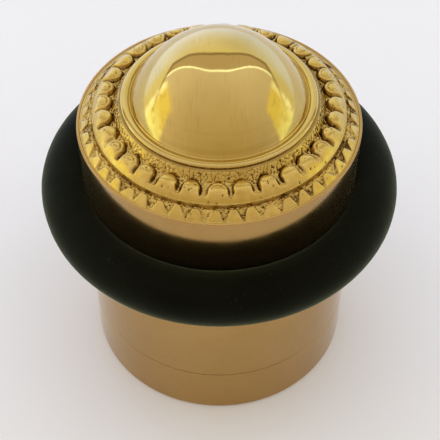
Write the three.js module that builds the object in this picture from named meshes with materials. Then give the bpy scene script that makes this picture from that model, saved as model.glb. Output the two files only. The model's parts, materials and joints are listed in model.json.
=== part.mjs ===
// A floor door stop: a turned brass post that screws onto a brass floor base, with a rubber buffer ring
// round it and an ornamented brass top. Millimetres, +Z up, origin at the centre of the underside.
import * as THREE from 'three';

// ---- Driving dimensions -------------------------------------------------------------------------
const POST_R = 20;             // outer radius of the base and the body
const SEAM_Z = 9;              // top of the base, where the body begins
const RIM_Z = 44.2;            // top edge of the body
const SEAM_GAP = 0.1;          // between the base and the body, screwed home
const EDGE = 0.2;              // broken edge on the turned parts
const FOOT_EDGE = 0.4;         // broken edge at the floor

const THREAD_PITCH = 2;
const THREAD_R = 15.6;         // mean radius of the base's thread
const THREAD_DEPTH = 0.9;      // root to crest
const THREAD_CLEARANCE = 0.3;  // radial, between the base's thread and the body's
const THREAD_START_Z = 9.9;
const THREAD_END_Z = 15.6;
const SPIGOT_TOP_Z = 16;
const THREAD_STEPS = 6;        // rows of the mesh in one pitch

const FIXING_HOLE_R = 3.1;     // for a 6 mm countersunk wood screw
const FIXING_HEAD_R = 6;

const BORE_R = 15;             // hollow of the body, above its thread
const RELIEF_TOP_Z = 17.2;     // undercut above the body's thread
const TOP_WALL_Z = 38;         // underside of the body's top wall
const SEAT_Z = 42;             // floor of the recess that holds the cap
const SEAT_R = 19.6;

const RING_SECTION_R = 3.76;   // the buffer ring is a round cord of this radius
const RING_CENTRE_R = 22.42;
const RING_Z = 31.7;
const GROOVE_GAP = 0.14;       // between the ring and the wall of its groove

const CAP_R = 19.5;
const CAP_BOTTOM_Z = 42.1;
const CAP_PLATFORM_Z = 47.85;  // flat that the dome's collar stands on
const CAP_PLATFORM_R = 13.9;
const BEADS = 32;
const BEAD_INNER_R = 14.95;
const BEAD_CENTRE_R = 16.1;
const BEAD_BAND_R = 17.2;      // from here outwards the beads join in one band
const BEAD_OUTER_R = 17.75;
const BEAD_TOP_Z = 47.15;
const BEAD_FLOOR_Z = 46.3;
const BEAD_BAND_Z = 46.7;
const BEAD_OUTER_Z = 45.7;     // the band slopes down to here
const TEETH = 48;
const STEP_FOOT_R = 17.85;     // foot of the step outside the bead band
const TEETH_INNER_R = 18.2;
const TEETH_OUTER_R = 19.3;
const TOOTH_INNER_Z = 45.3;    // the teeth fall from here
const TOOTH_OUTER_Z = 44.3;    // to here at the rim
const NOTCH_INNER_Z = 44.95;   // floor between the teeth
const NOTCH_OUTER_Z = 44.2;

const DOME_R = 12.3;           // where the dome meets its collar
const DOME_TOP_Z = 57.5;
const DOME_ELLIPSE_R = 14.86;  // the dome is the top of an ellipsoid of this half width
const DOME_ELLIPSE_Z = 36.7;   // and this height of centre
const COLLAR_GROOVE_Z = 48.3;
const COLLAR_R = 13;           // crest of the half-round moulding round the dome
const COLLAR_CREST_Z = 48.75;
const COLLAR_OUTER_R = 13.65;
const COLLAR_FOOT_Z = 47.95;

const BOLT_R = 3;              // M6 x 16 hexagon bolt
const BOLT_LENGTH = 16;
const BOLT_HEAD_H = 4;
const BOLT_ACROSS_FLATS = 10;
const BOLT_CLEARANCE = 0.3;
const WASHER_R = 6.1;
const WASHER_H = 1.6;
const WASHER_SPLIT = 0.25;     // angle of the gap in the spring washer, radians
const STACK_GAP = 0.1;         // between the bolt's head, the washer and the body's top wall

const TURNED_COLUMNS = 48;     // facets round the turned parts
const CAP_COLUMNS = 96;        // three to each bead, two to each tooth
const BOLT_COLUMNS = 24;

// ---- Materials ----------------------------------------------------------------------------------
function metal(color, roughness) {
  return new THREE.MeshStandardMaterial({ color, roughness, metalness: 1 });
}

const turnedBrass = () => metal(0xc09a62, 0.35);
const castBrass = () => metal(0xc9a350, 0.4);
const polishedBrass = () => metal(0xd8b860, 0.15);
const zincSteel = () => metal(0xb8babb, 0.45);
const blackRubber = () => new THREE.MeshStandardMaterial({ color: 0x141612, roughness: 0.8, metalness: 0 });

// ---- Meshes turned about the axis ---------------------------------------------------------------
const at = (value, angle) => (typeof value === 'function' ? value(angle) : value);

// Six times the signed volume of an indexed mesh: negative where its faces point inwards.
function signedVolume(positions, indices) {
  const corner = (k) => new THREE.Vector3().fromArray(positions, 3 * indices[k]);
  let sum = 0;
  for (let k = 0; k < indices.length; k += 3) {
    sum += corner(k).dot(corner(k + 1).cross(corner(k + 2)));
  }
  return sum;
}

// A solid swept round the Z axis. `outline` is a list of [radius, height], each a number or a function
// of the angle. It closes on itself, or its first and last points lie on the axis.
function turned(outline, columns = TURNED_COLUMNS) {
  const positions = [];
  const rows = outline.map(([radius, height]) => {
    const onAxis = radius === 0;
    const first = positions.length / 3;
    for (let c = 0; c < (onAxis ? 1 : columns); c++) {
      const angle = (2 * Math.PI * c) / columns;
      const r = at(radius, angle);
      positions.push(r * Math.cos(angle), r * Math.sin(angle), at(height, angle));
    }
    return (c) => first + (onAxis ? 0 : c % columns);
  });
  const closed = outline[0][0] !== 0;
  const indices = [];
  for (let k = 0; k < rows.length - (closed ? 0 : 1); k++) {
    const lower = rows[k];
    const upper = rows[(k + 1) % rows.length];
    for (let c = 0; c < columns; c++) {
      const quad = [lower(c), lower(c + 1), upper(c + 1), upper(c)];
      for (const [i, j, l] of [[0, 1, 2], [0, 2, 3]]) {
        if (new Set([quad[i], quad[j], quad[l]]).size === 3) indices.push(quad[i], quad[j], quad[l]);
      }
    }
  }
  if (signedVolume(positions, indices) < 0) indices.reverse();
  const geometry = new THREE.BufferGeometry();
  geometry.setAttribute('position', new THREE.Float32BufferAttribute(positions, 3));
  geometry.setIndex(indices);
  geometry.computeVertexNormals();
  return geometry;
}

// Points of an arc about (centreR, centreZ), from one angle to another, in degrees.
function arc(centreR, centreZ, radius, from, to, steps) {
  const points = [];
  for (let k = 0; k <= steps; k++) {
    const a = THREE.MathUtils.degToRad(from + ((to - from) * k) / steps);
    points.push([centreR + radius * Math.cos(a), centreZ + radius * Math.sin(a)]);
  }
  return points;
}

// ---- The screw thread between base and body -----------------------------------------------------
// Radius of the right-hand thread at an angle and a height: a flattened wave that climbs one pitch a turn.
function threadRadius(angle, z) {
  const phase = (2 * Math.PI * z) / THREAD_PITCH - angle;
  return THREAD_R + (THREAD_DEPTH / 2) * THREE.MathUtils.clamp(1.5 * Math.cos(phase), -1, 1);
}

// Rows of an outline along the thread, from its start up. `radius` gives the wall from the thread's radius.
function threadRows(radius) {
  const rows = [];
  const step = THREAD_PITCH / THREAD_STEPS;
  for (let z = THREAD_START_Z; z < THREAD_END_Z; z += step) {
    rows.push([(angle) => radius(threadRadius(angle, z)), z]);
  }
  return rows;
}

const THREAD_ROOT_R = THREAD_R - THREAD_DEPTH / 2;
const THREAD_CREST_R = THREAD_R + THREAD_DEPTH / 2;
const FEMALE_MAJOR_R = THREAD_CREST_R + THREAD_CLEARANCE;

// ---- Sub-parts ----------------------------------------------------------------------------------
// The disc that stands on the floor, with a threaded spigot and a countersunk hole for the floor screw.
function floorBase() {
  return turned([
    [POST_R - FOOT_EDGE, 0],
    [POST_R, FOOT_EDGE],
    [POST_R, SEAM_Z - EDGE],
    [POST_R - EDGE, SEAM_Z],
    [THREAD_ROOT_R, SEAM_Z],
    ...threadRows((radius) => radius),
    [THREAD_ROOT_R, THREAD_END_Z],
    [THREAD_ROOT_R - 0.4, SPIGOT_TOP_Z],
    [FIXING_HEAD_R, SPIGOT_TOP_Z],
    [FIXING_HOLE_R, SPIGOT_TOP_Z - (FIXING_HEAD_R - FIXING_HOLE_R)],
    [FIXING_HOLE_R, 0],
  ]);
}

// The hollow post: threaded mouth below, a groove round it for the buffer ring, a recess on top for the cap.
function stopBody() {
  const grooveR = RING_SECTION_R + GROOVE_GAP;
  const mouth = 180 - THREE.MathUtils.radToDeg(Math.acos((RING_CENTRE_R - POST_R) / grooveR));
  const bottom = SEAM_Z + SEAM_GAP;
  const boltHoleR = BOLT_R + BOLT_CLEARANCE;
  return turned([
    [POST_R - EDGE, bottom],
    [POST_R, bottom + EDGE],
    ...arc(RING_CENTRE_R, RING_Z, grooveR, 360 - mouth, mouth, 8),
    [POST_R, RIM_Z - EDGE],
    [POST_R - EDGE, RIM_Z],
    [SEAT_R, RIM_Z],
    [SEAT_R, SEAT_Z],
    [boltHoleR, SEAT_Z],
    [boltHoleR, TOP_WALL_Z],
    [BORE_R, TOP_WALL_Z],
    [BORE_R, RELIEF_TOP_Z],
    [FEMALE_MAJOR_R, RELIEF_TOP_Z - 0.4],
    [FEMALE_MAJOR_R, THREAD_END_Z + 0.2],
    ...threadRows((radius) => radius + THREAD_CLEARANCE).reverse(),
    [FEMALE_MAJOR_R, THREAD_START_Z - 0.2],
    [FEMALE_MAJOR_R + 0.5, bottom],
  ]);
}

// The rubber ring: a round cord closed on itself.
function bufferRing() {
  return turned(arc(RING_CENTRE_R, RING_Z, RING_SECTION_R, 0, 337.5, 15));
}

// 0 in the middle of a repeated feature and 1 on the line between two of them.
function acrossFeature(angle, count) {
  const turns = (angle * count) / (2 * Math.PI) + 0.5;
  return 2 * Math.abs(turns - Math.floor(turns) - 0.5);
}

// Height of the bead ring: round beads with round inner ends, joined in a band at their outer ends.
function beadHeight(angle, r) {
  const across = Math.sqrt(1 - Math.min(1, acrossFeature(angle + Math.PI / BEADS, BEADS)) ** 2);
  const inwards = Math.max(0, BEAD_CENTRE_R - r) / (BEAD_CENTRE_R - BEAD_INNER_R);
  const along = Math.sqrt(1 - Math.min(1, inwards) ** 2);
  const bead = BEAD_FLOOR_Z + (BEAD_TOP_Z - BEAD_FLOOR_Z) * across * along;
  return r < BEAD_BAND_R ? bead : Math.max(bead, BEAD_BAND_Z);
}

// Height of the toothed ring: teeth that fall towards the rim, where they meet the floor between them.
function toothHeight(angle, r) {
  const outwards = (r - TEETH_INNER_R) / (TEETH_OUTER_R - TEETH_INNER_R);
  const tooth = THREE.MathUtils.lerp(TOOTH_INNER_Z, TOOTH_OUTER_Z, outwards);
  const floor = THREE.MathUtils.lerp(NOTCH_INNER_Z, NOTCH_OUTER_Z, outwards);
  return THREE.MathUtils.lerp(tooth, floor, acrossFeature(angle, TEETH));
}

// The cast disc with the bead ring and the toothed ring, drilled for the bolt. One bead faces forwards.
function beadedCap() {
  const boltHoleR = BOLT_R + BOLT_CLEARANCE;
  const beadRow = (r) => [r, (angle) => beadHeight(angle, r)];
  const toothRow = (r) => [r, (angle) => toothHeight(angle, r)];
  return turned([
    [boltHoleR, CAP_BOTTOM_Z],
    [CAP_R, CAP_BOTTOM_Z],
    [CAP_R, NOTCH_OUTER_Z - 0.05],
    toothRow(TEETH_OUTER_R),
    toothRow((TEETH_INNER_R + TEETH_OUTER_R) / 2),
    toothRow(TEETH_INNER_R),
    [STEP_FOOT_R, NOTCH_INNER_Z],
    [BEAD_OUTER_R, BEAD_OUTER_Z],
    beadRow(BEAD_BAND_R),
    beadRow((BEAD_BAND_R + BEAD_CENTRE_R) / 2),
    beadRow(BEAD_CENTRE_R),
    beadRow(BEAD_CENTRE_R - 0.6),
    beadRow(BEAD_CENTRE_R - 0.95),
    beadRow(BEAD_INNER_R),
    [CAP_PLATFORM_R, CAP_PLATFORM_Z],
    [boltHoleR, CAP_PLATFORM_Z],
  ], CAP_COLUMNS).rotateZ(Math.PI / BEADS);
}

// The polished dome with a half-round collar, drilled from below for the bolt.
function dome() {
  const steps = 12;
  const height = DOME_TOP_Z - DOME_ELLIPSE_Z;
  const shell = [];
  for (let k = 0; k <= steps; k++) {
    const a = (Math.asin(DOME_R / DOME_ELLIPSE_R) * k) / steps;
    shell.push([DOME_ELLIPSE_R * Math.sin(a), DOME_ELLIPSE_Z + height * Math.cos(a)]);
  }
  const holeR = BOLT_R + BOLT_CLEARANCE;
  const holeTopZ = boltTopZ() + 0.4;
  return turned([
    ...shell,
    [DOME_R + 0.06, COLLAR_GROOVE_Z],
    [COLLAR_R - 0.35, COLLAR_CREST_Z - 0.12],
    [COLLAR_R, COLLAR_CREST_Z],
    [COLLAR_R + 0.35, COLLAR_CREST_Z - 0.12],
    [COLLAR_OUTER_R, COLLAR_CREST_Z - 0.6],
    [COLLAR_OUTER_R, COLLAR_FOOT_Z],
    [holeR, COLLAR_FOOT_Z],
    [holeR, holeTopZ],
    [0, holeTopZ],
  ]);
}

const washerTopZ = () => TOP_WALL_Z - STACK_GAP;
const headTopZ = () => washerTopZ() - WASHER_H - STACK_GAP;
const boltTopZ = () => headTopZ() + BOLT_LENGTH;

// The bolt that clamps body, cap and dome together, put in from inside the body.
function clampBolt() {
  const hexagon = (angle) => {
    const fromFlat = ((angle + Math.PI / 6) % (Math.PI / 3)) - Math.PI / 6;
    return BOLT_ACROSS_FLATS / 2 / Math.cos(fromFlat);
  };
  const headBottomZ = headTopZ() - BOLT_HEAD_H;
  return turned([
    [0, headBottomZ],
    [BOLT_ACROSS_FLATS / 2 - 0.2, headBottomZ],
    [hexagon, headBottomZ + 0.5],
    [hexagon, headTopZ()],
    [BOLT_R, headTopZ()],
    [BOLT_R, boltTopZ() - 0.6],
    [BOLT_R - 0.6, boltTopZ()],
    [0, boltTopZ()],
  ], BOLT_COLUMNS);
}

// The split spring washer under the bolt's head.
function springWasher() {
  const section = new THREE.Shape();
  const holeR = BOLT_R + BOLT_CLEARANCE;
  section.absarc(0, 0, WASHER_R, WASHER_SPLIT / 2, 2 * Math.PI - WASHER_SPLIT / 2, false);
  section.absarc(0, 0, holeR, 2 * Math.PI - WASHER_SPLIT / 2, WASHER_SPLIT / 2, true);
  const geometry = new THREE.ExtrudeGeometry(section, {
    depth: WASHER_H,
    bevelEnabled: false,
    curveSegments: BOLT_COLUMNS,
  });
  return geometry.translate(0, 0, washerTopZ() - WASHER_H);
}

// ---- The assembly -------------------------------------------------------------------------------
function named(name, geometry, material) {
  const mesh = new THREE.Mesh(geometry, material);
  mesh.name = name;
  return mesh;
}

const doorStop = new THREE.Group();
doorStop.add(
  named('floor_base', floorBase(), turnedBrass()),
  named('stop_body', stopBody(), turnedBrass()),
  named('buffer_ring', bufferRing(), blackRubber()),
  named('beaded_cap', beadedCap(), castBrass()),
  named('dome', dome(), polishedBrass()),
  named('clamp_bolt', clampBolt(), zincSteel()),
  named('spring_washer', springWasher(), zincSteel()),
);

export default doorStop;
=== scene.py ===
"""Looks for the door stop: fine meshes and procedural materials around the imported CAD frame.

Meshes are worked out in millimetres in the row frame (+Z up, origin under the foot) and stored in metres.
"""

import json
import math

import bpy
import numpy as np
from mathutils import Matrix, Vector, noise

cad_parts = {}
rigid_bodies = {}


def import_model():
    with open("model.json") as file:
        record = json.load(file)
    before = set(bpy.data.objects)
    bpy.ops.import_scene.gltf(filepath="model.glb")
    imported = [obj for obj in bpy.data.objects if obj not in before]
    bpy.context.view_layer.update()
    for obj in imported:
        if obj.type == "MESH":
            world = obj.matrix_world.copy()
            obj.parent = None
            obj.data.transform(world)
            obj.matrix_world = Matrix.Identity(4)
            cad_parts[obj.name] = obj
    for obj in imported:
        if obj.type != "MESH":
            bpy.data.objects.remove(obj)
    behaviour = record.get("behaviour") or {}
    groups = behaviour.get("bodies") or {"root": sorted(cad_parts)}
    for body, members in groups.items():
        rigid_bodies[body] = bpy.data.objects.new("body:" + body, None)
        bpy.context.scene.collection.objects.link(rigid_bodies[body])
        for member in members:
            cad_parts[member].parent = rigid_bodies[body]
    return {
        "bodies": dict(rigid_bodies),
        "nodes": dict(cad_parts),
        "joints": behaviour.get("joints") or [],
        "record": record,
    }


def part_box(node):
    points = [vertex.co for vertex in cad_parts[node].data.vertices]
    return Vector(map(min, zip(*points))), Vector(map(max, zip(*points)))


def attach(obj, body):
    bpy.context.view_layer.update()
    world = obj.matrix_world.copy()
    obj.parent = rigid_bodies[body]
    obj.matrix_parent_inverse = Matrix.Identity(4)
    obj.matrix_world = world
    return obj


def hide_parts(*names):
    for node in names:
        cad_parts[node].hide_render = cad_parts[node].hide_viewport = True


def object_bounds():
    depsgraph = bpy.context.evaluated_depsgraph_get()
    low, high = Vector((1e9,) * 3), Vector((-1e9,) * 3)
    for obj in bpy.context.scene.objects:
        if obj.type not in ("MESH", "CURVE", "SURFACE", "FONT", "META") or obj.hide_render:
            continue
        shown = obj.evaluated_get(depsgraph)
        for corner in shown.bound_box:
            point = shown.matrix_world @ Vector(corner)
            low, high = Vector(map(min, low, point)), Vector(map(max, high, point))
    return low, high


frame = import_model()
cad_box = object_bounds()

MM = 0.001
SEED = 7

# ---- Sizes from the frame, in millimetres --------------------------------------------------------


def box_mm(node):
    low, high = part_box(node)
    return low / MM, high / MM


BASE_HIGH = box_mm("floor_base")[1]
BODY_LOW, BODY_HIGH = box_mm("stop_body")
RING_LOW, RING_HIGH = box_mm("buffer_ring")
CAP_LOW, CAP_HIGH = box_mm("beaded_cap")
DOME_LOW, DOME_HIGH = box_mm("dome")
BOLT_LOW, BOLT_HIGH = box_mm("clamp_bolt")
WASHER_LOW, WASHER_HIGH = box_mm("spring_washer")

POST_R = BODY_HIGH.x
RIM_Z = BODY_HIGH.z
SPIGOT_TOP_Z = BASE_HIGH.z
SEAM_Z = BODY_LOW.z - 0.1      # top of the base's disc
RING_SECTION_R = (RING_HIGH.z - RING_LOW.z) / 2
RING_CENTRE_R = RING_HIGH.x - RING_SECTION_R
RING_Z = (RING_HIGH.z + RING_LOW.z) / 2

# ---- Sizes of details, in millimetres ------------------------------------------------------------
SOFT_EDGE = 0.06               # the smallest rounding on a turned edge
FOOT_EDGE = 0.5
RIM_EDGE = 0.14

THREAD_PITCH = 2.0
THREAD_R = 15.6
THREAD_DEPTH = 0.9
THREAD_CLEARANCE = 0.3
THREAD_START_Z = 9.9
THREAD_END_Z = 15.6
FIXING_HOLE_R = 3.1
FIXING_HEAD_R = 6.0

BORE_R = 15.0
RELIEF_TOP_Z = 17.2
TOP_WALL_Z = 38.0
SEAT_Z = CAP_LOW.z - 0.1
SEAT_R = 19.6
GROOVE_GAP = 0.14
FLARE = 0.12                   # the wall leans out by this, from the ring up to the rim
RING_SWELL = 0.1               # how far the rubber fills out inside its groove
BOLT_HOLE_R = 3.3
BOLT_R = 3.0                   # M6, at the crests of its thread
BOLT_CORE_R = 2.4
BOLT_PITCH = 1.0

PLATFORM_R = 13.85             # the cap's flat under the dome's collar
PLATFORM_Z = CAP_HIGH.z
STIPPLE_R = 14.1               # from here outwards the ground is fully stippled
GAP_R = 15.6                   # from here outwards some gaps between the beads are half filled
BEADS = 32
BEAD_TOP_Z = 47.2
BEAD_INNER_R = 14.9
BEAD_HALF_WIDTH = 1.27         # at BEAD_MIDDLE_R, and in proportion elsewhere
BEAD_MIDDLE_R = 16.2
BAND_R = 17.15                 # from here outwards the beads join in one band
BAND_OUTER_R = 17.75
BAND_OUTER_Z = 45.75
BAND_ROLL_R = 15.8             # from here outwards the tops roll over, down to the band's outer edge
BAND_ROLL_POWER = 2.3
MOAT_OFFSET = 0.1              # from a bead's edge to the middle of the thin moat round it
MOAT_HALF_WIDTH = 0.13
CRESCENT_INSET = 0.55          # from a bead's edge to the crescent worn into some of them
CRESCENT_HALF_WIDTH = 0.1
SHOULDER_POWER = 2.6           # how square the beads' shoulders are; 2 is a quarter circle
GROUND_RADII = [PLATFORM_R, 14.05, 14.8, 15.5, 17.3]    # the dip that the beads stand in
GROUND_HEIGHTS = [PLATFORM_Z, 47.6, 46.65, 46.5, 46.3]
STEP_FOOT_R = 17.85            # foot of the step outside the band
TEETH = 48
TEETH_INNER_R = 18.1
TEETH_OUTER_R = 19.4
NOTCH_INNER_Z = 44.98          # floor between the teeth
TOOTH_RISE = 0.42
PITS = 240                     # small round holes scattered over the casting

DOME_R = 12.3                  # where the dome meets its collar
DOME_ELLIPSE_R = 14.86         # the dome is the top of an ellipsoid of this half width
DOME_ELLIPSE_Z = 36.7          # and this height of centre
COLLAR_SECTION_R = 0.65        # the collar is a half-round moulding of this half width
COLLAR_RISE = 0.38             # flattened to this height above its middle
COLLAR_OUTER_R = DOME_HIGH.x
COLLAR_Z = 48.2

COLUMNS = 256                  # facets round the turned parts
CAP_COLUMNS = 768              # 24 to each bead, 16 to each tooth


# ---- Meshes turned about the axis ----------------------------------------------------------------
def smooth_step(x, low, high):
    t = np.clip((x - low) / (high - low), 0, 1)
    return t * t * (3 - 2 * t)


def piece(name, verts_mm, faces):
    """A smooth-shaded mesh object from points in millimetres."""
    mesh = bpy.data.meshes.new(name)
    mesh.from_pydata((np.asarray(verts_mm, float) * MM).tolist(), [], faces)
    mesh.validate()
    mesh.shade_smooth()
    obj = bpy.data.objects.new(name, mesh)
    bpy.context.scene.collection.objects.link(obj)
    return obj


def turned(name, outline, columns=COLUMNS):
    """A solid swept round the axis, from (radius, height) rows, outside on the left of their order.
    A value is a number or one number for each column. Rows close on themselves, or end on the axis."""
    angles = np.linspace(0, 2 * math.pi, columns, endpoint=False)
    verts, rows = [], []
    for radius, height in outline:
        on_axis = np.isscalar(radius) and radius == 0
        spread = angles[:1] if on_axis else angles
        radius = np.broadcast_to(radius, spread.shape)
        height = np.broadcast_to(height, spread.shape)
        first = sum(len(v) for v in verts)
        verts.append(np.stack([radius * np.cos(spread), radius * np.sin(spread), height], 1))
        rows.append(np.full(columns, first) if on_axis else first + np.arange(columns))
    closed = len(np.unique(rows[0])) > 1
    faces = []
    for k in range(len(rows) if closed else len(rows) - 1):
        low, high = rows[k], rows[(k + 1) % len(rows)]
        quads = np.stack([low, np.roll(low, -1), np.roll(high, -1), high], 1).tolist()
        faces += [list(dict.fromkeys(q)) for q in quads]
    return piece(name, np.concatenate(verts), faces)


def arc(centre, radius, start, end, steps):
    """Points of an arc, from angle start to end in degrees."""
    sweep = np.radians(np.linspace(start, end, steps + 1))
    return [(centre[0] + radius * math.cos(a), centre[1] + radius * math.sin(a)) for a in sweep]


def rounded(corners, closed=True, steps=5):
    """An outline with its corners rounded. A corner is (radius, height, rounding). A close extra point
    on each side of a rounding keeps the flats beside it flat under smooth shading."""
    outline = []
    count = len(corners)
    for k, corner in enumerate(corners):
        point = np.array(corner[:2], float)
        rounding = corner[2] if len(corner) > 2 else 0
        if rounding == 0 or (not closed and k in (0, count - 1)):
            outline.append(tuple(point))
            continue
        before = np.array(corners[k - 1][:2], float) - point
        after = np.array(corners[(k + 1) % count][:2], float) - point
        room = min(np.linalg.norm(before), np.linalg.norm(after))
        before /= np.linalg.norm(before)
        after /= np.linalg.norm(after)
        half = math.acos(np.clip(before @ after, -1, 1)) / 2
        reach = min(rounding / math.tan(half), 0.45 * room)
        centre_way = before + after
        centre_way /= np.linalg.norm(centre_way)
        radius = reach * math.tan(half)
        centre = point + centre_way * radius / math.sin(half)
        start, end = point + before * reach - centre, point + after * reach - centre
        a0, a1 = math.atan2(start[1], start[0]), math.atan2(end[1], end[0])
        turn = (a1 - a0 + math.pi) % (2 * math.pi) - math.pi
        outline.append(tuple(point + before * reach * 1.08))
        outline += [
            (centre[0] + radius * math.cos(a0 + turn * t), centre[1] + radius * math.sin(a0 + turn * t))
            for t in np.linspace(0, 1, steps + 1)
        ]
        outline.append(tuple(point + after * reach * 1.08))
    return outline


def ripple(points_mm, size, seed):
    """Smooth noise, about -1 to 1, at points in millimetres, with features of that size."""
    shift = Vector((seed * 3.1, seed * 7.7, seed * 1.3))
    return np.array([noise.noise(Vector(p) / size + shift) for p in points_mm])


def roughen(obj, size, amount, seed):
    """Moves a mesh's points along their normals by smooth noise, in millimetres."""
    mesh = obj.data
    points = np.zeros(len(mesh.vertices) * 3)
    mesh.vertices.foreach_get("co", points)
    points = points.reshape(-1, 3)
    normals = np.array([v.normal[:] for v in mesh.vertices])
    points += normals * (ripple(points / MM, size, seed) * amount * MM)[:, None]
    mesh.vertices.foreach_set("co", points.ravel())
    mesh.update()


# ---- The screw thread ----------------------------------------------------------------------------
def thread_wave(angle, z, pitch):
    """The flattened wave of a right-hand thread, -1 at its root and 1 at its crest."""
    return np.clip(1.5 * np.cos(2 * math.pi * z / pitch - angle), -1, 1)


def thread_rows(mean, depth, pitch, start, end, columns, steps=24):
    """Rows of an outline up a thread that fades in and out over its first and last half turns."""
    angles = np.linspace(0, 2 * math.pi, columns, endpoint=False)
    rows = []
    for z in np.arange(start, end, pitch / steps):
        fade = min(1, (z - start) / (pitch / 2), (end - z) / (pitch / 2))
        rows.append((mean, depth / 2 * thread_wave(angles, z, pitch), fade, z))
    return rows


def outside_thread(rows):
    """A shaft's thread fades to its root."""
    return [(mean + fade * (wave + abs(wave.min())) - abs(wave.min()), z) for mean, wave, fade, z in rows]


def inside_thread(rows, clearance):
    """A nut's thread fades to its root, which is its larger radius."""
    return [
        (mean + clearance + wave.max() - fade * (wave.max() - wave), z) for mean, wave, fade, z in rows
    ]


# ---- Turned and moulded pieces -------------------------------------------------------------------
def base_piece():
    root = THREAD_R - THREAD_DEPTH / 2
    rows = thread_rows(THREAD_R, THREAD_DEPTH, THREAD_PITCH, THREAD_START_Z, THREAD_END_Z, COLUMNS)
    lower = rounded([
        (FIXING_HOLE_R, 0, 0.1),
        (POST_R, 0, FOOT_EDGE),
        (POST_R, SEAM_Z, SOFT_EDGE),
        (root, SEAM_Z, 0.2),
        (root, THREAD_START_Z),
    ], closed=False)
    upper = rounded([
        (root, THREAD_END_Z),
        (root - 0.4, SPIGOT_TOP_Z, 0.1),
        (FIXING_HEAD_R, SPIGOT_TOP_Z, 0.15),
        (FIXING_HOLE_R, SPIGOT_TOP_Z - FIXING_HEAD_R + FIXING_HOLE_R, 0.3),
        (FIXING_HOLE_R, 0),
    ], closed=False)[:-1]
    return turned("floor_base_turned", lower + outside_thread(rows)[1:] + upper)


def body_piece():
    groove_r = RING_SECTION_R + GROOVE_GAP
    mouth = 180 - math.degrees(math.acos((RING_CENTRE_R - POST_R) / groove_r))
    groove_half = groove_r * math.sin(math.radians(mouth))
    major = THREAD_R + THREAD_DEPTH / 2 + THREAD_CLEARANCE
    bottom = BODY_LOW.z
    rows = thread_rows(THREAD_R, THREAD_DEPTH, THREAD_PITCH, THREAD_START_Z, THREAD_END_Z, COLUMNS)
    below_groove = rounded([
        (major + 0.5, bottom, 0.1),
        (POST_R, bottom, SOFT_EDGE),
        (POST_R, RING_Z - groove_half - 0.1),
    ], closed=False)
    above_groove = rounded([
        (POST_R - FLARE, RING_Z + groove_half + 0.02),
        (POST_R - 0.97 * FLARE, RING_Z + groove_half + 0.3),    # keeps the wall above smooth
        (POST_R, RIM_Z, RIM_EDGE),
        (SEAT_R, RIM_Z, 0.05),
        (SEAT_R, SEAT_Z, 0.1),
        (BOLT_HOLE_R, SEAT_Z, 0.15),
        (BOLT_HOLE_R, TOP_WALL_Z, 0.15),
        (BORE_R, TOP_WALL_Z, 0.8),
        (BORE_R, RELIEF_TOP_Z, 0.1),
        (major, RELIEF_TOP_Z - 0.4, 0.1),
        (major, THREAD_END_Z),
    ], closed=False)
    groove = arc((RING_CENTRE_R, RING_Z), groove_r, 360 - mouth, mouth, 48)[:-1]
    outline = below_groove + groove + above_groove + inside_thread(rows, THREAD_CLEARANCE)[::-1][1:]
    return turned("stop_body_turned", outline)


def ring_piece():
    section = []
    for a in np.linspace(0, 2 * math.pi, 72, endpoint=False):
        swell = RING_SWELL * smooth_step(-math.cos(a), 0.3, 0.6)
        radius = RING_SECTION_R + swell
        section.append((RING_CENTRE_R + radius * math.cos(a), RING_Z + radius * math.sin(a)))
    ring = turned("buffer_ring_rubber", section, columns=320)
    roughen(ring, size=9, amount=0.05, seed=1)
    roughen(ring, size=1.6, amount=0.012, seed=2)
    return ring


def dome_piece():
    height = DOME_HIGH.z - DOME_ELLIPSE_Z
    edge = math.asin(DOME_R / DOME_ELLIPSE_R)
    shell = [
        (DOME_ELLIPSE_R * math.sin(a), DOME_ELLIPSE_Z + height * math.cos(a))
        for a in np.linspace(0, edge, 100)
    ]
    round_collar = arc((COLLAR_OUTER_R - COLLAR_SECTION_R, 0), COLLAR_SECTION_R, 160, 0, 28)
    collar = [(r, COLLAR_Z + z * COLLAR_RISE / COLLAR_SECTION_R) for r, z in round_collar]
    foot = rounded([
        collar[-1],
        (COLLAR_OUTER_R, DOME_LOW.z, 0.05),
        (BOLT_HOLE_R, DOME_LOW.z, 0.2),
        (BOLT_HOLE_R, BOLT_HIGH.z + 0.4, 0.3),
        (0, BOLT_HIGH.z + 0.4),
    ], closed=False)[1:]
    shell[0] = (0, DOME_HIGH.z)
    return turned("dome_polished", shell + collar + foot)


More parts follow.
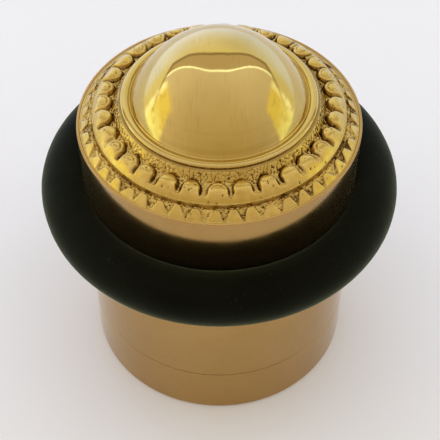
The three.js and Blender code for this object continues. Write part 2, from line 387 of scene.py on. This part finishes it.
# ---- The cast cap --------------------------------------------------------------------------------
def bead_field(angles, r, rng):
    """How full the metal stands over the bead ring, 0 between beads and 1 on them; the relief on their
    tops in millimetres; and the strength of a thin moat round each. They are tongues with round inner
    ends, each a little different, and their spacing drifts round the ring as if laid out by eye."""
    pitch = 2 * math.pi / BEADS
    full = np.zeros(angles.shape)
    relief = np.zeros(angles.shape)
    moat = np.zeros(angles.shape)
    for k in range(BEADS):
        drift = 0.033 * math.sin(2 * k * pitch + 3) - 0.012
        centre = k * pitch + drift + rng.uniform(-0.04, 0.04) * pitch
        width = BEAD_HALF_WIDTH * rng.uniform(0.93, 1.07)
        inner = BEAD_INNER_R + rng.uniform(-0.1, 0.12)
        shoulder_width = rng.uniform(0.26, 0.4)
        low = rng.uniform(0, 0.12)
        dish = rng.uniform(0.1, 0.24) if rng.uniform() < 0.55 else 0
        tilt = rng.uniform(-0.1, 0.1)
        away = (angles - centre + math.pi) % (2 * math.pi) - math.pi
        near = np.abs(away) < 0.8 * pitch
        x = away[near] * BEAD_MIDDLE_R
        y = r[near] - (inner + width)
        reach = np.where(y < 0, np.hypot(x, y), np.abs(x))
        outside = (reach - width - MOAT_OFFSET) / MOAT_HALF_WIDTH
        moat[near] = np.maximum(moat[near], np.exp(-(outside ** 2)))
        edge = np.clip((width - reach) / shoulder_width, 0, 1)
        shoulder = (1 - (1 - edge) ** SHOULDER_POWER) ** (1 / SHOULDER_POWER)
        inset = (width - reach - CRESCENT_INSET) / CRESCENT_HALF_WIDTH
        crescent = np.exp(-(inset ** 2)) * smooth_step(-y, -0.7, 0.2)
        crown = 0.14 * (1 - np.clip(reach / width, 0, 1) ** 2)
        shape = crown - low - dish * crescent + tilt * np.clip(x / width, -1, 1)
        higher = shoulder > full[near]
        full[near] = np.where(higher, shoulder, full[near])
        relief[near] = np.where(higher, shape * shoulder, relief[near])
    return full, relief, moat * (1 - full) * (1 - smooth_step(r, 16.5, 17.1))


def tooth_field(angles, r, rng):
    """Height over the toothed ring, and how fully its teeth cover it. The teeth are petals, narrow inside
    and wide at the rim, on a falling floor."""
    pitch = 2 * math.pi / TEETH
    outwards = (r - TEETH_INNER_R) / (TEETH_OUTER_R - TEETH_INNER_R)
    floor = NOTCH_INNER_Z + (RIM_Z - 0.06 - NOTCH_INNER_Z) * np.clip(outwards, 0, 1)
    petals = np.zeros(angles.shape)
    cover = np.zeros(angles.shape)
    for k in range(TEETH):
        centre = (k + 0.75 + rng.uniform(-0.1, 0.1)) * pitch
        narrow = rng.uniform(0.1, 0.2)
        spread = rng.uniform(0.42, 0.54)
        start = rng.uniform(-0.02, 0.22)
        rise = TOOTH_RISE * rng.uniform(0.8, 1.1)
        skew = rng.uniform(-0.1, 0.1)
        away = (angles - centre + math.pi) % (2 * math.pi) - math.pi
        away = np.abs(away / pitch - skew * (1 - outwards))
        width = narrow + (spread - narrow) * np.clip(outwards, 0, 1) ** 0.8
        sides = smooth_step(width - away, -0.02, 0.09)
        end = smooth_step(outwards, start - 0.06, start + 0.1)
        top = rise * np.clip(1 - outwards, 0, 1) ** 0.7 + 0.04
        petals = np.maximum(petals, top * sides * end)
        cover = np.maximum(cover, sides * end)
    return floor + petals, cover


def casting_pits(angles, r, rng):
    """Depth of small round pits scattered over the casting."""
    depth = np.zeros(angles.shape)
    for _ in range(PITS):
        at_angle = rng.uniform(0, 2 * math.pi)
        at_r = rng.uniform(14.2, 19.2)
        size = rng.uniform(0.05, 0.13)
        away = (angles - at_angle + math.pi) % (2 * math.pi) - math.pi
        near = np.abs(away) < 0.03
        reach = np.hypot(away[near] * r[near], r[near] - at_r)
        pit = rng.uniform(0.08, 0.2) * np.exp(-((reach / size) ** 2))
        depth[near] = np.maximum(depth[near], pit)
    return depth


def cap_surface(angles, r):
    """Height of the cap's whole top surface, in millimetres, and the shade painted into its low places."""
    rng = np.random.default_rng(SEED)
    points = np.stack([r * np.cos(angles), r * np.sin(angles), np.zeros(r.shape)], -1).reshape(-1, 3)
    worms = ripple(points, size=0.46, seed=3).reshape(r.shape)
    fine = ripple(points, size=0.16, seed=4).reshape(r.shape)
    wobble = ripple(points, size=1.7, seed=5).reshape(r.shape)
    patches = ripple(points, size=4, seed=6).reshape(r.shape)

    # The stippled ground that the beads stand in
    ground = np.interp(r, GROUND_RADII, GROUND_HEIGHTS)
    stipple_crevices = 1 - np.minimum(1, np.abs(worms) / 0.13)
    stipple = smooth_step(r, PLATFORM_R, STIPPLE_R) * (1 - 0.5 * smooth_step(r, 15.0, GAP_R))
    ground += stipple * (0.2 * np.minimum(1, np.abs(worms) / 0.16) ** 0.7 - 0.12 + 0.03 * fine)

    # The beads, some gaps between them half filled, and the band that they join in outwards
    full, relief, moat = bead_field(angles, r, rng)
    ground -= 0.2 * moat
    gap_depth = np.where(r > GAP_R, np.clip(0.7 + 1.1 * patches, 0.3, 1), 1)
    full = np.maximum(1 - (1 - full) * gap_depth, smooth_step(r, BAND_R - 0.1, BAND_R + 0.3))
    outwards = np.clip((r - BAND_ROLL_R) / (BAND_OUTER_R - BAND_ROLL_R), 0, 1)
    tongue = BEAD_TOP_Z - (BEAD_TOP_Z - BAND_OUTER_Z) * outwards ** BAND_ROLL_POWER
    tongue += relief * (1 - smooth_step(r, BAND_R - 0.5, BAND_R + 0.1))
    inside = ground + (tongue - ground) * full

    # The step down to the toothed ring
    fall = smooth_step(r, BAND_OUTER_R - 0.03, STEP_FOOT_R - 0.02)
    outside, cover = tooth_field(angles, r, rng)
    notch = (1 - cover) * smooth_step(r, BAND_OUTER_R, STEP_FOOT_R) * (1 - smooth_step(r, 19.1, 19.3))
    outside += notch * (0.12 * np.minimum(1, np.abs(worms) / 0.2) - 0.08 + 0.05 * fine)
    top = inside * (1 - fall) + outside * fall
    cast = smooth_step(r, 13.9, 14.3) * (1 - smooth_step(r, 19.2, 19.45))
    pits = casting_pits(angles, r, rng)

    # Painted shade in the low places, patchy, and stronger on the right side, where less light falls
    recess_shade = stipple * (1 - full) * (0.1 + 0.6 * stipple_crevices)
    recess_shade += moat * (0.6 + 0.7 * wobble)
    recess_shade += notch * (0.2 + 0.4 * stipple_crevices + 0.5 * wobble) + 1.8 * cover * (1 - cover) * (0.7 + wobble)
    recess_shade *= np.clip(0.75 + 0.7 * patches + 0.3 * np.cos(angles), 0.2, 1.1)
    # Painted shadow under the dome's collar, and painted shade in the casting pits
    recess_shade += 0.8 * (1 - smooth_step(r, 13.7, 14.05)) + pits / 0.25
    return top + cast * (0.04 * wobble + 0.008 * fine - pits), recess_shade


def blurred(heights, rounds):
    """Heights smoothed by that many rounds of averaging with the neighbours."""
    for _ in range(rounds):
        heights = (heights + np.roll(heights, 1, 1) + np.roll(heights, -1, 1)) / 3
        heights[1:-1] = (heights[1:-1] + heights[2:] + heights[:-2]) / 3
    return heights


def cap_piece():
    """The cap, with an attribute of painted shade that is 1 in its darkest low places. Its rows of points
    are closest together at the step."""
    radii = np.concatenate([
        np.linspace(PLATFORM_R, 15.6, 44),
        np.linspace(15.64, 17.6, 46),
        np.linspace(17.63, 17.93, 14),
        np.linspace(17.97, 19.5, 34),
    ])
    sweep = np.linspace(0, 2 * math.pi, CAP_COLUMNS, endpoint=False)
    angles, r = np.meshgrid(sweep, radii)
    heights, recess_shade = cap_surface(angles, r)
    outer_r = SEAT_R - 0.02
    under = rounded([
        (BOLT_HOLE_R, PLATFORM_Z, 0.2),
        (BOLT_HOLE_R, CAP_LOW.z, 0.2),
        (outer_r, CAP_LOW.z, 0.2),
        (outer_r, RIM_Z - 0.08),
    ], closed=False)
    rim = (outer_r - 0.03, RIM_Z - 0.03)
    top = [(float(radius), height) for radius, height in zip(radii[::-1], heights[::-1])]
    cap = turned("beaded_cap_cast", under + [rim] + top, CAP_COLUMNS)
    # Painted shade in crevices and hollows, from how far each point lies below its smoothed neighbours
    fine_crevice_shade = np.clip((blurred(heights, 4) - heights) / 0.1, 0, 1)
    wide_crevice_shade = np.clip((blurred(heights, 30) - heights) / 0.5, 0, 1)
    painted_shade = np.clip(0.4 * fine_crevice_shade + 0.2 * wide_crevice_shade + recess_shade, 0, 1)
    shade = cap.data.attributes.new("painted_shade", "FLOAT", "POINT")
    values = np.zeros(len(cap.data.vertices), np.float32)
    values[-painted_shade.size:] = painted_shade[::-1].ravel()
    shade.data.foreach_set("value", values)
    return cap


# ---- Fasteners -----------------------------------------------------------------------------------
def bolt_piece():
    columns = 144
    angles = np.linspace(0, 2 * math.pi, columns, endpoint=False)
    flat = BOLT_HIGH.x
    head_top = WASHER_LOW.z - 0.1
    head_low = BOLT_LOW.z
    hexagon = flat / np.cos((angles + math.pi / 6) % (math.pi / 3) - math.pi / 6)
    head = [(0, head_low), (flat - 0.35, head_low), (flat - 0.25, head_low + 0.02)]
    for z in np.linspace(head_low + 0.05, head_top - 0.3, 14):
        head.append((np.minimum(hexagon, flat - 0.2 + 1.8 * (z - head_low)), float(z)))
    head += [(hexagon, head_top - 0.28), (np.minimum(hexagon, flat), head_top - 0.25)]
    head += [(flat - 0.05, head_top), (flat - 0.4, head_top), (BOLT_R + 0.35, head_top)]
    plain = [
        (BOLT_R, head_top + 0.05),
        (BOLT_R, head_top + 0.1),
        (BOLT_R, head_top + 0.7),
        (BOLT_CORE_R, head_top + 0.95),
    ]
    mean = (BOLT_R + BOLT_CORE_R) / 2
    depth = BOLT_R - BOLT_CORE_R
    shank = thread_rows(mean, depth, BOLT_PITCH, head_top + 1, BOLT_HIGH.z - 0.5, columns, 12)
    tip = [(BOLT_CORE_R, BOLT_HIGH.z - 0.45), (2.0, BOLT_HIGH.z), (1.9, BOLT_HIGH.z), (0, BOLT_HIGH.z)]
    return turned("clamp_bolt_machined", head + plain + outside_thread(shank) + tip, columns)


def washer_piece():
    inner, outer = BOLT_HOLE_R, WASHER_HIGH.x
    thickness, rise, gap = 1.3, 0.28, 0.26
    section = rounded([
        (inner, 0, 0.15),
        (outer, 0, 0.2),
        (outer, thickness, 0.2),
        (inner, thickness, 0.15),
    ])
    steps = 120
    verts = []
    for t in np.linspace(0, 1, steps + 1):
        a = gap / 2 + t * (2 * math.pi - gap)
        lift = WASHER_LOW.z + rise * t
        verts += [(r * math.cos(a), r * math.sin(a), z + lift) for r, z in section]
    count = len(section)
    faces = [list(range(count))[::-1], [steps * count + i for i in range(count)]]
    for s in range(steps):
        for i in range(count):
            j = (i + 1) % count
            faces.append([s * count + i, s * count + j, (s + 1) * count + j, (s + 1) * count + i])
    washer = piece("spring_washer_split", verts, faces)
    washer.data.set_sharp_from_angle(angle=math.radians(50))
    return washer


# ---- Materials -----------------------------------------------------------------------------------
class Field:
    """A number or vector inside a node tree, with ordinary arithmetic."""

    def __init__(self, look, socket):
        self.look = look
        self.socket = socket

    def __add__(self, other):
        return self.look.math("ADD", self, other)

    def __sub__(self, other):
        return self.look.math("SUBTRACT", self, other)

    def __mul__(self, other):
        return self.look.math("MULTIPLY", self, other)

    def __truediv__(self, other):
        return self.look.math("DIVIDE", self, other)

    def step(self, low, high):
        """0 below low and 1 above high, or the other way round."""
        return self.look.range(self, low, high, 0, 1)


class Look:
    """A node material being built round one Principled shader."""

    def __init__(self, name):
        self.material = bpy.data.materials.new(name)
        self.material.use_nodes = True
        self.tree = self.material.node_tree
        self.shader = self.tree.nodes["Principled BSDF"]

    def node(self, kind, inputs=None, **settings):
        """Adds a node. An input is a value or a Field to link from."""
        made = self.tree.nodes.new("ShaderNode" + kind)
        for key, value in settings.items():
            setattr(made, key, value)
        for key, value in (inputs or {}).items():
            self.feed(made.inputs[key], value)
        return made

    def feed(self, socket, value):
        if isinstance(value, Field):
            self.tree.links.new(value.socket, socket)
        else:
            socket.default_value = value

    def math(self, operation, *values):
        inputs = dict(enumerate(values))
        return Field(self, self.node("Math", inputs, operation=operation).outputs[0])

    def vector_math(self, operation, *values):
        inputs = dict(enumerate(values))
        return Field(self, self.node("VectorMath", inputs, operation=operation).outputs[0])

    def place(self):
        """The point being shaded, in the row frame, in millimetres."""
        coords = Field(self, self.node("TexCoord").outputs["Object"])
        return self.vector_math("MULTIPLY", coords, (1 / MM, 1 / MM, 1 / MM))

    def parts(self, vector):
        return [Field(self, socket) for socket in self.node("SeparateXYZ", {0: vector}).outputs]

    def cloud(self, size, detail=3.0, stretch=(1, 1, 1)):
        """Noise with features of that size in millimetres, about 0 to 1."""
        where = self.vector_math("MULTIPLY", self.place(), stretch)
        made = self.node("TexNoise", {"Vector": where, "Scale": 1 / size, "Detail": detail})
        return Field(self, made.outputs["Fac"])

    def lathe_lines(self, spacing, detail=2.0):
        """Noise that changes only along the turned outline, so it makes lines round the axis."""
        x, y, z = self.parts(self.place())
        along = self.math("SQRT", x * x + y * y) + z
        settings = {"W": along, "Scale": 1 / spacing, "Detail": detail}
        return Field(self, self.node("TexNoise", settings, noise_dimensions="1D").outputs["Fac"])

    def range(self, value, low, high, new_low, new_high):
        return Field(self, self.node("MapRange", {
            "Value": value, "From Min": low, "From Max": high, "To Min": new_low, "To Max": new_high,
        }).outputs[0])

    def mix(self, factor, first, second):
        """A colour between two, by a 0 to 1 field."""
        made = self.node("Mix", data_type="RGBA")
        self.feed(made.inputs[0], factor)
        for socket, value in zip((made.inputs[6], made.inputs[7]), (first, second)):
            self.feed(socket, (*value, 1) if isinstance(value, tuple) else value)
        return Field(self, made.outputs[2])

    def bump(self, height_mm):
        """Small relief from a height field in millimetres."""
        made = self.node("Bump", {"Height": height_mm, "Distance": MM})
        return Field(self, made.outputs[0])

    def finish(self, **sockets):
        """Sets the shader's inputs, by name with _ for a space, and returns the material."""
        for key, value in sockets.items():
            if isinstance(value, tuple):
                value = (*value, 1)
            self.feed(self.shader.inputs[key.replace("_", " ")], value)
        return self.material


def turned_brass():
    """Satin brass, fresh from the lathe, with fine lines round it, a slight pinkish tarnish and a haze."""
    look = Look("turned_brass")
    tarnish = look.cloud(9).step(0.35, 0.65)
    stains = look.cloud(1.2, 5).step(0.5, 0.8)
    colour = look.mix(tarnish, (0.465, 0.285, 0.098), (0.435, 0.262, 0.084))
    colour = look.mix(stains * 0.2, colour, (0.33, 0.19, 0.07))
    roughness = look.range(look.cloud(2.5, 4), 0.3, 0.7, 0.09, 0.13)
    relief = look.bump(look.lathe_lines(0.3) * 0.002)
    return look.finish(
        Base_Color=colour,
        Metallic=1.0,
        Roughness=roughness,
        Normal=relief,
        Sheen_Weight=0.03,
        Sheen_Roughness=0.6,
        Sheen_Tint=(1.0, 0.8, 0.35),
    )


def polished_brass():
    """Bright polished brass with hand-polishing streaks, and with turning lines near its foot."""
    look = Look("polished_brass")
    smudge = look.cloud(5, 4).step(0.35, 0.7)
    colour = look.mix(smudge, (0.60, 0.44, 0.135), (0.56, 0.40, 0.115))
    streaks = look.cloud(0.3, 2, (1, 0.1, 0.1)).step(0.5, 0.7) * look.cloud(4, 2).step(0.42, 0.58)
    colour = look.mix(streaks * 0.25, colour, (0.40, 0.27, 0.07))
    near_foot = look.parts(look.place())[2].step(53, 49)
    lines = look.lathe_lines(0.35)
    colour = look.mix(lines.step(0.5, 0.7) * near_foot * 0.3, colour, (0.40, 0.27, 0.07))
    relief = look.bump(lines * 0.0016 + look.cloud(3.5, 1) * 0.012)
    roughness = look.range(smudge, 0, 1, 0.06, 0.11)
    return look.finish(Base_Color=colour, Metallic=1.0, Roughness=roughness, Normal=relief)


def cast_brass():
    """Cast brass, bright on its high places, with shade painted brown to near black into its hollows."""
    look = Look("cast_brass")
    painted_shade = Field(look, look.node("Attribute", attribute_name="painted_shade").outputs["Fac"])
    mottle = look.cloud(1.1, 5).step(0.35, 0.65)
    colour = look.mix(mottle, (0.64, 0.45, 0.12), (0.56, 0.38, 0.09))
    # Painted shade: the low places turn brown, and the deepest nearly black
    colour = look.mix(painted_shade.step(0, 0.75), colour, (0.19, 0.10, 0.022))
    colour = look.mix(painted_shade.step(0.5, 1), colour, (0.05, 0.022, 0.006))
    roughness = look.range(mottle * 0.4 + painted_shade, 0, 1.4, 0.2, 0.5)
    relief = look.bump(look.cloud(0.18, 4) * 0.02)
    return look.finish(Base_Color=colour, Metallic=1.0, Roughness=roughness, Normal=relief)


def black_rubber():
    """Matt black rubber, faintly green, with a fine grain, a few pale specks and a soft bloom."""
    look = Look("black_rubber")
    patches = look.cloud(6, 4).step(0.35, 0.65)
    colour = look.mix(patches, (0.0014, 0.0019, 0.0010), (0.0030, 0.0038, 0.0020))
    specks = look.cloud(0.35, 1).step(0.74, 0.8)
    colour = look.mix(specks * 0.5, colour, (0.05, 0.055, 0.045))
    relief = look.bump(look.cloud(0.25, 4) * 0.03 + look.cloud(2.2, 3) * 0.06)
    roughness = look.range(look.cloud(3, 3), 0.3, 0.7, 0.55, 0.72)
    return look.finish(
        Base_Color=colour,
        Roughness=roughness,
        Normal=relief,
        Specular_IOR_Level=0.05,
        Specular_Tint=(1.0, 1.0, 0.6),
        Sheen_Weight=0.2,
        Sheen_Roughness=0.4,
        Sheen_Tint=(0.85, 1.0, 0.6),
    )


def zinc_steel():
    """Zinc-plated steel, slightly cloudy, with fine machining lines."""
    look = Look("zinc_steel")
    cloudy = look.cloud(1.5, 4).step(0.3, 0.7)
    colour = look.mix(cloudy, (0.50, 0.51, 0.52), (0.40, 0.41, 0.43))
    relief = look.bump(look.lathe_lines(0.1) * 0.004)
    roughness = look.range(cloudy, 0, 1, 0.3, 0.45)
    return look.finish(Base_Color=colour, Metallic=1.0, Roughness=roughness, Normal=relief)


# ---- The studio ----------------------------------------------------------------------------------
CAMERA_PITCH = 49.4            # degrees below the horizon
CAMERA_DISTANCE = 0.178        # from the point on the axis that the camera looks at
AIM_SHARE = 0.3843             # height of that point, as a share of the object's height
CAMERA_LENS = 94.2
TENT_RADIUS = 0.9
FLOOR_SIZE = 6.0

# Levels of red, green and blue in the tent's light
SKY_LIGHT = (1.1, 1.12, 1.15)
HORIZON_LIGHT = (1.15, 1.35, 2.2)
SKY_BY_FRAME_LIGHT = (1.15, 1.15, 0.9)
YELLOW_LIGHT = (1.35, 1.25, 0.5)
YELLOW_END_LIGHT = (1.65, 1.85, 1.3)
YELLOW_TOP_LIGHT = (1.9, 2.1, 2.2)
YELLOW_STREAK_LIGHT = (0.95, 0.8, 0.3)
PANEL_LIGHT = (1.08, 1.03, 1.12)
PANEL_FOOT_LIGHT = (0.68, 0.56, 0.38)
PANEL_STRIP_LIGHT = (0.78, 0.67, 0.60)
LINE_LIGHT = (2.0, 2.4, 3.0)
FRAME_LIGHT = (0.30, 0.22, 0.16)
EVEN = (1.0, 1.0, 1.0)         # shares of the light at the middle, the right side and the left side
RIGHT_SHARE = (0.88, 0.88, 0.86)
LEFT_SHARE = (1.1, 1.1, 1.12)


def add_camera():
    data = bpy.data.cameras.new("camera")
    data.lens = CAMERA_LENS
    data.sensor_width = 36
    data.shift_x = 0.0016
    data.shift_y = -0.0014
    data.clip_start = 0.01
    camera = bpy.data.objects.new("camera", data)
    bpy.context.scene.collection.objects.link(camera)
    pitch = math.radians(CAMERA_PITCH)
    aim = Vector((0, 0, AIM_SHARE * cad_box[1].z))
    camera.location = aim + CAMERA_DISTANCE * Vector((0, -math.cos(pitch), math.sin(pitch)))
    camera.rotation_euler = (math.pi / 2 - pitch, 0, 0)
    bpy.context.scene.camera = camera


def add_floor():
    """A plain pale floor."""
    half = FLOOR_SIZE / 2 / MM
    corners = [(-half, -half, 0), (half, -half, 0), (half, half, 0), (-half, half, 0)]
    floor = piece("floor", corners, [[0, 1, 2, 3]])
    look = Look("pale_floor")
    tone = look.mix(look.cloud(30, 3).step(0.3, 0.7), (0.92, 0.945, 0.955), (0.91, 0.935, 0.945))
    floor.data.materials.append(look.finish(Base_Color=tone, Roughness=0.9, Specular_IOR_Level=0.1))


def tent_light():
    """Soft light that fills the tent, laid out as the dome reflects it. A warm panel fills the front side
    up to a brown frame behind the zenith, with a bright line across it. Yellow light comes in at both
    ends of the panel, and the rest is pale sky. A direction's place is given in degrees from the zenith,
    how far beside it and how far behind it."""
    look = Look("tent_light")
    dome_centre = (0, 0, (DOME_LOW.z + DOME_HIGH.z) / 2)
    way = look.vector_math("NORMALIZE", look.vector_math("SUBTRACT", look.place(), dome_centre))
    x, y, z = look.parts(way)
    from_zenith = look.math("ARCCOSINE", z) * math.degrees(1)
    spread = from_zenith / look.math("SQRT", x * x + y * y + 0.000001)
    beside = look.math("ABSOLUTE", x) * spread
    streak = look.cloud(55, 3, (1, 0.5, 1)) - 0.5
    behind = y * spread
    edge = behind + (look.cloud(220, 0) - 0.5) * 8 + streak * 4
    along = beside.step(7, 57)
    # Where the frame and the bright line run, as places behind the zenith
    frame = beside.step(10, 35) * 9 + 30 - look.math("MAXIMUM", beside - 52, 0)
    line = along * along * (along * -2 + 3) * 25 + 2.5

    # Sky, and the yellow light low at both sides
    sky = look.mix(from_zenith.step(55, 82), SKY_LIGHT, HORIZON_LIGHT)
    sky = look.mix(behind.step(50, 34), sky, SKY_BY_FRAME_LIGHT)
    yellow = look.mix(beside.step(76, 90), YELLOW_LIGHT, YELLOW_END_LIGHT)
    yellow = look.mix(behind.step(8, 18), yellow, YELLOW_TOP_LIGHT)
    yellow = look.mix(streak.step(0.02, 0.2) * 0.7, yellow, YELLOW_STREAK_LIGHT)
    sky = look.mix(edge.step(24, 17), sky, yellow)

    # The panel, with a darker strip behind its bright line
    panel = look.mix(behind.step(10, -75), PANEL_LIGHT, PANEL_FOOT_LIGHT)
    panel = look.mix((behind - line).step(0, 1), panel, PANEL_STRIP_LIGHT)
    panel = look.mix(look.math("ABSOLUTE", behind - line).step(1.7, 1.0), panel, LINE_LIGHT)

    # All together, with the left side a little brighter than the right
    level = look.mix((frame - behind).step(-0.5, 0.5) * beside.step(66, 61), sky, panel)
    level = look.mix((beside * 0.35 + edge).step(5, -2), level, panel)
    at_frame = look.math("ABSOLUTE", behind - frame).step(3.5, 1) * beside.step(90, 60)
    level = look.mix(at_frame * 0.8, level, FRAME_LIGHT)
    side_share = look.mix(x.step(0.25, -0.25), RIGHT_SHARE, LEFT_SHARE)
    aside = look.math("MAXIMUM", beside.step(35, 65), behind.step(34, 44))
    level = look.vector_math("MULTIPLY", level, look.mix(aside, EVEN, side_share))
    glow = look.node("Emission", {"Color": level})
    look.tree.links.new(glow.outputs[0], look.tree.nodes["Material Output"].inputs["Surface"])
    look.tree.nodes.remove(look.shader)
    look.material.cycles.emission_sampling = "NONE"
    return look.material


def add_tent():
    """A round light tent over the floor, which lights and reflects but isn't seen directly."""
    radius = TENT_RADIUS / MM
    outline = arc((0, 0), radius, -2, 89, 40)
    outline = [(0, outline[0][1])] + outline + [(0, radius)]
    tent = turned("tent", outline, 96)
    tent.data.materials.append(tent_light())
    tent.visible_camera = False
    tent.visible_shadow = False


def add_world():
    world = bpy.data.worlds.new("world")
    bpy.context.scene.world = world
    world.use_nodes = True
    background = world.node_tree.nodes["Background"]
    background.inputs["Color"].default_value = (0.92, 0.92, 0.92, 1)


# ---- Assembly ------------------------------------------------------------------------------------
BRASS = turned_brass()
STEEL = zinc_steel()
PIECES = [
    (base_piece(), "base", "floor_base", "turned_brass", BRASS),
    (body_piece(), "post", "stop_body", "turned_brass", BRASS),
    (ring_piece(), "ring", "buffer_ring", "black_rubber", black_rubber()),
    (cap_piece(), "post", "beaded_cap", "cast_brass", cast_brass()),
    (dome_piece(), "post", "dome", "polished_brass", polished_brass()),
    (bolt_piece(), "post", "clamp_bolt", "zinc_steel", STEEL),
    (washer_piece(), "post", "spring_washer", "zinc_steel", STEEL),
]
for obj, body, node_name, slot_name, material in PIECES:
    obj.data.materials.append(material)
    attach(obj, body)
    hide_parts(node_name)

add_camera()
add_floor()
add_tent()
add_world()
bpy.context.scene.view_settings.view_transform = "Standard"

bpy.context.view_layer.update()
